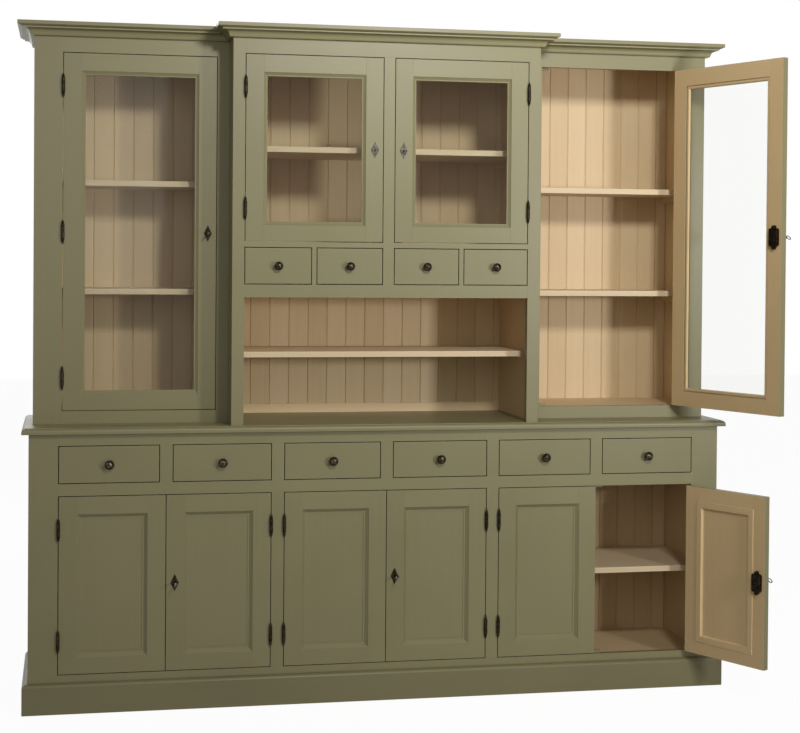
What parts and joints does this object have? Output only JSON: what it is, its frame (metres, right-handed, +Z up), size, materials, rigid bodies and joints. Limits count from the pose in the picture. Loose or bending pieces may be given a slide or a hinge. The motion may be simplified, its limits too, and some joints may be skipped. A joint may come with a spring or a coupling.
{
  "type": "kitchen cupboard",
  "caption": "Freestanding painted kitchen cupboard: a base with doors and drawers, and a breakfront hutch with glazed doors, an open niche and small drawers.",
  "frame": {"origin": "on the floor under the middle of the base cupboard, halfway between its face and the wall", "axes": "+Z up, the front faces -Y, +X to the right as seen from the front"},
  "size_m": [2.4424, 0.789, 2.179],
  "materials": {
    "olive_paint": "softwood under a satin olive paint",
    "cream_paint": "softwood boards under a matt warm cream paint",
    "bare_wood": "planed softwood, unpainted",
    "ironware": "dark waxed iron",
    "glass": "clear window glass"
  },
  "bodies": {
    "cupboard": {"plinth": "olive_paint", "base_carcass": "olive_paint", "base_face_frame": "olive_paint", "base_back_boards": "cream_paint", "base_shelves": "cream_paint", "drawer_runners": "bare_wood", "worktop": "olive_paint", "hutch_carcass": "olive_paint", "hutch_face_frames": "olive_paint", "hutch_back_boards": "cream_paint", "hutch_shelves": "cream_paint", "shelf_supports": "cream_paint", "cornice": "olive_paint", "hinge_frame_halves": "ironware"},
    "left_pair_left_door": {"left_pair_left_door": "olive_paint", "left_pair_left_door_ironware": "ironware"},
    "left_pair_right_door": {"left_pair_right_door": "olive_paint", "left_pair_right_door_ironware": "ironware"},
    "left_pair_right_bolt": {"left_pair_right_door_bolt": "ironware"},
    "left_pair_right_key": {"left_pair_right_door_key": "ironware"},
    "middle_pair_left_door": {"middle_pair_left_door": "olive_paint", "middle_pair_left_door_ironware": "ironware"},
    "middle_pair_right_door": {"middle_pair_right_door": "olive_paint", "middle_pair_right_door_ironware": "ironware"},
    "middle_pair_right_bolt": {"middle_pair_right_door_bolt": "ironware"},
    "middle_pair_right_key": {"middle_pair_right_door_key": "ironware"},
    "right_pair_left_door": {"right_pair_left_door": "olive_paint", "right_pair_left_door_ironware": "ironware"},
    "right_pair_right_door": {"right_pair_right_door": "olive_paint", "right_pair_right_door_ironware": "ironware"},
    "right_pair_right_bolt": {"right_pair_right_door_bolt": "ironware"},
    "right_pair_right_key": {"right_pair_right_door_key": "ironware"},
    "left_tower_door": {"left_tower_door": "olive_paint", "left_tower_glass": "glass", "left_tower_door_ironware": "ironware"},
    "left_tower_bolt": {"left_tower_door_bolt": "ironware"},
    "left_tower_key": {"left_tower_door_key": "ironware"},
    "left_centre_door": {"left_centre_door": "olive_paint", "left_centre_glass": "glass", "left_centre_door_ironware": "ironware"},
    "left_centre_bolt": {"left_centre_door_bolt": "ironware"},
    "right_tower_door": {"right_tower_door": "olive_paint", "right_tower_glass": "glass", "right_tower_door_ironware": "ironware"},
    "right_tower_bolt": {"right_tower_door_bolt": "ironware"},
    "right_tower_key": {"right_tower_door_key": "ironware"},
    "right_centre_door": {"right_centre_door": "olive_paint", "right_centre_glass": "glass", "right_centre_door_ironware": "ironware"},
    "right_centre_bolt": {"right_centre_door_bolt": "ironware"},
    "base_drawer_1": {"base_drawer_1": "olive_paint"},
    "base_drawer_2": {"base_drawer_2": "olive_paint"},
    "base_drawer_3": {"base_drawer_3": "olive_paint"},
    "base_drawer_4": {"base_drawer_4": "olive_paint"},
    "base_drawer_5": {"base_drawer_5": "olive_paint"},
    "base_drawer_6": {"base_drawer_6": "olive_paint"},
    "spice_drawer_1": {"spice_drawer_1": "olive_paint"},
    "spice_drawer_2": {"spice_drawer_2": "olive_paint"},
    "spice_drawer_3": {"spice_drawer_3": "olive_paint"},
    "spice_drawer_4": {"spice_drawer_4": "olive_paint"}
  },
  "joints": [
    {"name": "left_pair_left_door_hinge", "type": "hinge", "parent": "cupboard", "child": "left_pair_left_door", "pos_m": [-1.04775, -0.2259, 0], "axis": [0, 0, -1], "range_deg": [0, 165]},
    {"name": "left_pair_right_door_hinge", "type": "hinge", "parent": "cupboard", "child": "left_pair_right_door", "pos_m": [-0.37758, -0.2259, 0], "axis": [0, 0, 1], "range_deg": [0, 90]},
    {"name": "left_pair_right_bolt_slide", "type": "slide", "parent": "left_pair_right_door", "child": "left_pair_right_bolt", "axis": [-1, 0, 0], "range_m": [0, 0.017]},
    {"name": "left_pair_right_key_turn", "type": "hinge", "parent": "left_pair_right_door", "child": "left_pair_right_key", "pos_m": [-0.68442, -0.22, 0.40075], "axis": [0, 1, 0], "range_deg": [0, 180]},
    {"name": "middle_pair_left_door_hinge", "type": "hinge", "parent": "cupboard", "child": "middle_pair_left_door", "pos_m": [-0.33508, -0.2259, 0], "axis": [0, 0, -1], "range_deg": [0, 90]},
    {"name": "middle_pair_right_door_hinge", "type": "hinge", "parent": "cupboard", "child": "middle_pair_right_door", "pos_m": [0.33508, -0.2259, 0], "axis": [0, 0, 1], "range_deg": [0, 90]},
    {"name": "middle_pair_right_bolt_slide", "type": "slide", "parent": "middle_pair_right_door", "child": "middle_pair_right_bolt", "axis": [-1, 0, 0], "range_m": [0, 0.017]},
    {"name": "middle_pair_right_key_turn", "type": "hinge", "parent": "middle_pair_right_door", "child": "middle_pair_right_key", "pos_m": [0.02825, -0.22, 0.40075], "axis": [0, 1, 0], "range_deg": [0, 180]},
    {"name": "right_pair_left_door_hinge", "type": "hinge", "parent": "cupboard", "child": "right_pair_left_door", "pos_m": [0.37758, -0.2259, 0], "axis": [0, 0, -1], "range_deg": [0, 90]},
    {"name": "right_pair_right_door_hinge", "type": "hinge", "parent": "cupboard", "child": "right_pair_right_door", "pos_m": [1.04775, -0.2259, 0], "axis": [0, 0, 1], "range_deg": [-117, 48]},
    {"name": "right_pair_right_bolt_slide", "type": "slide", "parent": "right_pair_right_door", "child": "right_pair_right_bolt", "axis": [0.454, -0.891, 0], "range_m": [0, 0.017]},
    {"name": "right_pair_right_key_turn", "type": "hinge", "parent": "right_pair_right_door", "child": "right_pair_right_key", "pos_m": [1.18179, -0.50197, 0.40075], "axis": [-0.891, -0.454, 0], "range_deg": [0, 180]},
    {"name": "left_tower_door_hinge", "type": "hinge", "parent": "cupboard", "child": "left_tower_door", "pos_m": [-1.03875, -0.1079, 0], "axis": [0, 0, -1], "range_deg": [0, 165]},
    {"name": "left_tower_bolt_slide", "type": "slide", "parent": "left_tower_door", "child": "left_tower_bolt", "axis": [1, 0, 0], "range_m": [0, 0.017]},
    {"name": "left_tower_key_turn", "type": "hinge", "parent": "left_tower_door", "child": "left_tower_key", "pos_m": [-0.57648, -0.102, 1.513], "axis": [0, -1, 0], "range_deg": [0, 180]},
    {"name": "left_centre_door_hinge", "type": "hinge", "parent": "cupboard", "child": "left_centre_door", "pos_m": [-0.46773, -0.2259, 0], "axis": [0, 0, -1], "range_deg": [0, 120]},
    {"name": "left_centre_bolt_slide", "type": "slide", "parent": "left_centre_door", "child": "left_centre_bolt", "axis": [1, 0, 0], "range_m": [0, 0.017]},
    {"name": "right_tower_door_hinge", "type": "hinge", "parent": "cupboard", "child": "right_tower_door", "pos_m": [1.03875, -0.1079, 0], "axis": [0, 0, 1], "range_deg": [-113, 52]},
    {"name": "right_tower_bolt_slide", "type": "slide", "parent": "right_tower_door", "child": "right_tower_bolt", "axis": [0.3907, -0.9205, 0], "range_m": [0, 0.017]},
    {"name": "right_tower_key_turn", "type": "hinge", "parent": "right_tower_door", "child": "right_tower_key", "pos_m": [1.21394, -0.53572, 1.513], "axis": [-0.9205, -0.3907, 0], "range_deg": [0, 180]},
    {"name": "right_centre_door_hinge", "type": "hinge", "parent": "cupboard", "child": "right_centre_door", "pos_m": [0.46773, -0.2259, 0], "axis": [0, 0, 1], "range_deg": [0, 120]},
    {"name": "right_centre_bolt_slide", "type": "slide", "parent": "right_centre_door", "child": "right_centre_bolt", "axis": [-1, 0, 0], "range_m": [0, 0.017]},
    {"name": "base_drawer_1_slide", "type": "slide", "parent": "cupboard", "child": "base_drawer_1", "axis": [0, -1, 0], "range_m": [0, 0.3]},
    {"name": "base_drawer_2_slide", "type": "slide", "parent": "cupboard", "child": "base_drawer_2", "axis": [0, -1, 0], "range_m": [0, 0.3]},
    {"name": "base_drawer_3_slide", "type": "slide", "parent": "cupboard", "child": "base_drawer_3", "axis": [0, -1, 0], "range_m": [0, 0.3]},
    {"name": "base_drawer_4_slide", "type": "slide", "parent": "cupboard", "child": "base_drawer_4", "axis": [0, -1, 0], "range_m": [0, 0.3]},
    {"name": "base_drawer_5_slide", "type": "slide", "parent": "cupboard", "child": "base_drawer_5", "axis": [0, -1, 0], "range_m": [0, 0.3]},
    {"name": "base_drawer_6_slide", "type": "slide", "parent": "cupboard", "child": "base_drawer_6", "axis": [0, -1, 0], "range_m": [0, 0.3]},
    {"name": "spice_drawer_1_slide", "type": "slide", "parent": "cupboard", "child": "spice_drawer_1", "axis": [0, -1, 0], "range_m": [0, 0.2]},
    {"name": "spice_drawer_2_slide", "type": "slide", "parent": "cupboard", "child": "spice_drawer_2", "axis": [0, -1, 0], "range_m": [0, 0.2]},
    {"name": "spice_drawer_3_slide", "type": "slide", "parent": "cupboard", "child": "spice_drawer_3", "axis": [0, -1, 0], "range_m": [0, 0.2]},
    {"name": "spice_drawer_4_slide", "type": "slide", "parent": "cupboard", "child": "spice_drawer_4", "axis": [0, -1, 0], "range_m": [0, 0.2]}
  ],
  "couplings": [
    {"joint": "left_pair_right_bolt_slide", "follows": "left_pair_right_key_turn", "m_per_rad": 0.005411},
    {"joint": "middle_pair_right_bolt_slide", "follows": "middle_pair_right_key_turn", "m_per_rad": 0.005411},
    {"joint": "right_pair_right_bolt_slide", "follows": "right_pair_right_key_turn", "m_per_rad": 0.005411},
    {"joint": "left_tower_bolt_slide", "follows": "left_tower_key_turn", "m_per_rad": 0.005411},
    {"joint": "right_tower_bolt_slide", "follows": "right_tower_key_turn", "m_per_rad": 0.005411}
  ]
}
